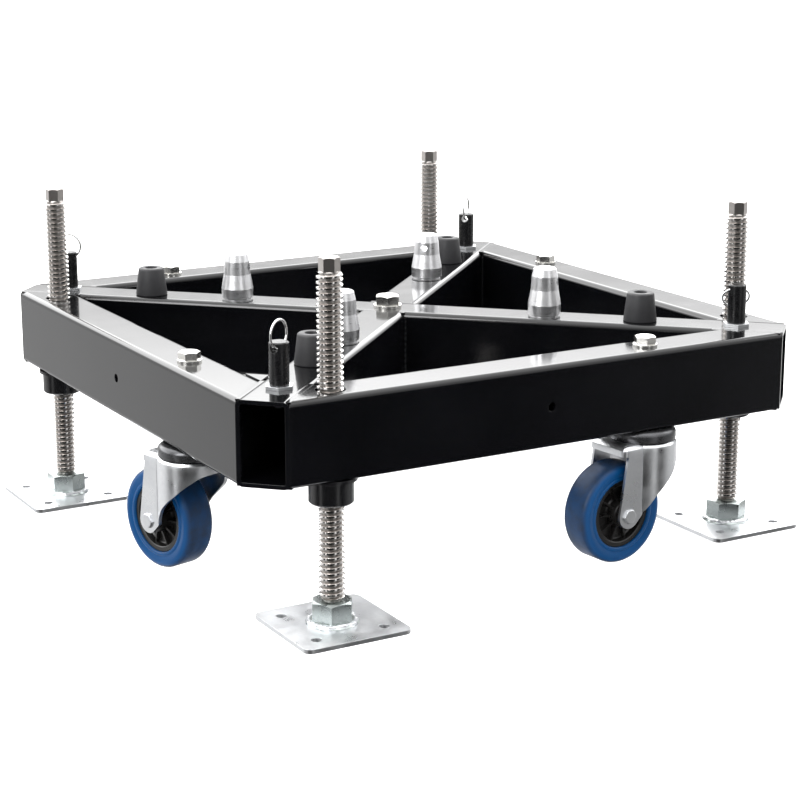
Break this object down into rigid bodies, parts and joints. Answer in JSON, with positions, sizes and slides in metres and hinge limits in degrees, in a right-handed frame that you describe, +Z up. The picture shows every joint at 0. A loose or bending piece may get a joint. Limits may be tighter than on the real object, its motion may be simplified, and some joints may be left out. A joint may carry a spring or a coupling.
{
  "type": "stage tower base frame",
  "caption": "Square black welded tower base frame with diagonal braces, screw-jack feet, swivel casters, conical truss spigots, rubber rests and ring-pull socket locks.",
  "frame": {"origin": "on the floor under the middle of the frame", "axes": "+Z up, -Y the front side, +X to the right; each side holds a jack near its left end and a caster near its right end, seen from outside"},
  "size_m": [0.685, 0.685, 0.3445],
  "materials": {
    "frame_black": "gloss black powder coat",
    "zinc": "bright zinc plate, satin",
    "thread_steel": "bright rolled trapezoidal thread, lightly oiled",
    "bolt_zinc": "zinc plated bolts",
    "aluminium": "turned aluminium",
    "rest_rubber": "dark grey rubber, matt",
    "tyre_blue": "blue elastic rubber",
    "hub_black": "moulded black nylon",
    "head_dark": "dark passivated steel",
    "knob_black": "satin black",
    "spring_steel": "spring wire",
    "ring_nickel": "nickel plated wire"
  },
  "bodies": {
    "root": {"front_beam": "frame_black", "right_beam": "frame_black", "back_beam": "frame_black", "left_beam": "frame_black", "long_diagonal": "frame_black", "front_half_diagonal": "frame_black", "back_half_diagonal": "frame_black", "corner_gussets": "frame_black", "jack_nuts": "frame_black", "truss_spigots": "aluminium", "rubber_rests": "rest_rubber", "rest_screws": "bolt_zinc", "through_bolts": "bolt_zinc", "center_bolt": "bolt_zinc", "lock_guides": "zinc", "swivel_heads": "head_dark", "lock_spring_front_left": "spring_steel", "lock_spring_front_right": "spring_steel", "lock_spring_back_right": "spring_steel", "lock_spring_back_left": "spring_steel"},
    "foot_front_left": {"foot_plate_front_left": "zinc", "foot_nut_front_left": "zinc"},
    "screw_front_left": {"jack_screw_front_left": "thread_steel"},
    "foot_front_right": {"foot_plate_front_right": "zinc", "foot_nut_front_right": "zinc"},
    "screw_front_right": {"jack_screw_front_right": "thread_steel"},
    "foot_back_right": {"foot_plate_back_right": "zinc", "foot_nut_back_right": "zinc"},
    "screw_back_right": {"jack_screw_back_right": "thread_steel"},
    "foot_back_left": {"foot_plate_back_left": "zinc", "foot_nut_back_left": "zinc"},
    "screw_back_left": {"jack_screw_back_left": "thread_steel"},
    "fork_front": {"caster_fork_front": "zinc", "caster_axle_front": "zinc"},
    "wheel_front": {"wheel_hub_front": "hub_black", "wheel_tyre_front": "tyre_blue"},
    "fork_right": {"caster_fork_right": "zinc", "caster_axle_right": "zinc"},
    "wheel_right": {"wheel_hub_right": "hub_black", "wheel_tyre_right": "tyre_blue"},
    "fork_back": {"caster_fork_back": "zinc", "caster_axle_back": "zinc"},
    "wheel_back": {"wheel_hub_back": "hub_black", "wheel_tyre_back": "tyre_blue"},
    "fork_left": {"caster_fork_left": "zinc", "caster_axle_left": "zinc"},
    "wheel_left": {"wheel_hub_left": "hub_black", "wheel_tyre_left": "tyre_blue"},
    "lock_front_left": {"lock_knob_front_left": "knob_black", "lock_pin_front_left": "zinc"},
    "ring_front_left": {"pull_ring_front_left": "ring_nickel"},
    "lock_front_right": {"lock_knob_front_right": "knob_black", "lock_pin_front_right": "zinc"},
    "ring_front_right": {"pull_ring_front_right": "ring_nickel"},
    "lock_back_right": {"lock_knob_back_right": "knob_black", "lock_pin_back_right": "zinc"},
    "ring_back_right": {"pull_ring_back_right": "ring_nickel"},
    "lock_back_left": {"lock_knob_back_left": "knob_black", "lock_pin_back_left": "zinc"},
    "ring_back_left": {"pull_ring_back_left": "ring_nickel"}
  },
  "joints": [
    {"name": "foot_slide_front_left", "type": "slide", "parent": "root", "child": "foot_front_left", "axis": [0, 0, 1], "range_m": [-0.105, 0.09]},
    {"name": "screw_turn_front_left", "type": "hinge", "parent": "foot_front_left", "child": "screw_front_left", "pos_m": [-0.223, -0.2875, 0.03], "axis": [0, 0, 1], "range_deg": [-7562, 6482]},
    {"name": "foot_slide_front_right", "type": "slide", "parent": "root", "child": "foot_front_right", "axis": [0, 0, 1], "range_m": [-0.105, 0.09]},
    {"name": "screw_turn_front_right", "type": "hinge", "parent": "foot_front_right", "child": "screw_front_right", "pos_m": [0.2875, -0.223, 0.03], "axis": [0, 0, 1], "range_deg": [-7562, 6482]},
    {"name": "foot_slide_back_right", "type": "slide", "parent": "root", "child": "foot_back_right", "axis": [0, 0, 1], "range_m": [-0.105, 0.09]},
    {"name": "screw_turn_back_right", "type": "hinge", "parent": "foot_back_right", "child": "screw_back_right", "pos_m": [0.223, 0.2875, 0.03], "axis": [0, 0, 1], "range_deg": [-7562, 6482]},
    {"name": "foot_slide_back_left", "type": "slide", "parent": "root", "child": "foot_back_left", "axis": [0, 0, 1], "range_m": [-0.105, 0.09]},
    {"name": "screw_turn_back_left", "type": "hinge", "parent": "foot_back_left", "child": "screw_back_left", "pos_m": [-0.2875, 0.223, 0.03], "axis": [0, 0, 1], "range_deg": [-7562, 6482]},
    {"name": "caster_swivel_front", "type": "hinge", "parent": "root", "child": "fork_front", "pos_m": [0.125, -0.2875, 0.13], "axis": [0, 0, 1], "continuous": true},
    {"name": "wheel_spin_front", "type": "hinge", "parent": "fork_front", "child": "wheel_front", "pos_m": [0.08721, -0.29147, 0.063], "axis": [0.1045, -0.9945, 0], "continuous": true},
    {"name": "caster_swivel_right", "type": "hinge", "parent": "root", "child": "fork_right", "pos_m": [0.2875, 0.125, 0.13], "axis": [0, 0, 1], "continuous": true},
    {"name": "wheel_spin_right", "type": "hinge", "parent": "fork_right", "child": "wheel_right", "pos_m": [0.2941, 0.16242, 0.063], "axis": [-0.9848, 0.1736, 0], "continuous": true},
    {"name": "caster_swivel_back", "type": "hinge", "parent": "root", "child": "fork_back", "pos_m": [-0.125, 0.2875, 0.13], "axis": [0, 0, 1], "continuous": true},
    {"name": "wheel_spin_back", "type": "hinge", "parent": "fork_back", "child": "wheel_back", "pos_m": [-0.08721, 0.29147, 0.063], "axis": [-0.1045, 0.9945, 0], "continuous": true},
    {"name": "caster_swivel_left", "type": "hinge", "parent": "root", "child": "fork_left", "pos_m": [-0.2875, -0.125, 0.13], "axis": [0, 0, 1], "continuous": true},
    {"name": "wheel_spin_left", "type": "hinge", "parent": "fork_left", "child": "wheel_left", "pos_m": [-0.29734, -0.08829, 0.063], "axis": [-0.9659, -0.2588, 0], "continuous": true},
    {"name": "lock_lift_front_left", "type": "slide", "parent": "root", "child": "lock_front_left", "axis": [0, 0, 1], "range_m": [0, 0.014], "stiffness_N_per_m": 500, "springref_m": -0.01, "deforming": ["lock_spring_front_left"]},
    {"name": "ring_swing_front_left", "type": "hinge", "parent": "lock_front_left", "child": "ring_front_left", "pos_m": [-0.26021, -0.26021, 0.2616], "axis": [0.8572, 0.515, 0], "range_deg": [-150, 150]},
    {"name": "lock_lift_front_right", "type": "slide", "parent": "root", "child": "lock_front_right", "axis": [0, 0, 1], "range_m": [0, 0.014], "stiffness_N_per_m": 500, "springref_m": -0.01, "deforming": ["lock_spring_front_right"]},
    {"name": "ring_swing_front_right", "type": "hinge", "parent": "lock_front_right", "child": "ring_front_right", "pos_m": [0.26021, -0.26021, 0.2616], "axis": [0.8746, -0.4848, 0], "range_deg": [-5, 295]},
    {"name": "lock_lift_back_right", "type": "slide", "parent": "root", "child": "lock_back_right", "axis": [0, 0, 1], "range_m": [0, 0.014], "stiffness_N_per_m": 500, "springref_m": -0.01, "deforming": ["lock_spring_back_right"]},
    {"name": "ring_swing_back_right", "type": "hinge", "parent": "lock_back_right", "child": "ring_back_right", "pos_m": [0.26021, 0.26021, 0.2616], "axis": [0.7071, 0.7071, 0], "range_deg": [-150, 150]},
    {"name": "lock_lift_back_left", "type": "slide", "parent": "root", "child": "lock_back_left", "axis": [0, 0, 1], "range_m": [0, 0.014], "stiffness_N_per_m": 500, "springref_m": -0.01, "deforming": ["lock_spring_back_left"]},
    {"name": "ring_swing_back_left", "type": "hinge", "parent": "lock_back_left", "child": "ring_back_left", "pos_m": [-0.26021, 0.26021, 0.2616], "axis": [0.8746, -0.4848, 0], "range_deg": [-150, 150]}
  ],
  "couplings": [
    {"joint": "screw_turn_front_left", "follows": "foot_slide_front_left", "rad_per_m": 1256.6},
    {"joint": "screw_turn_front_right", "follows": "foot_slide_front_right", "rad_per_m": 1256.6},
    {"joint": "screw_turn_back_right", "follows": "foot_slide_back_right", "rad_per_m": 1256.6},
    {"joint": "screw_turn_back_left", "follows": "foot_slide_back_left", "rad_per_m": 1256.6}
  ]
}
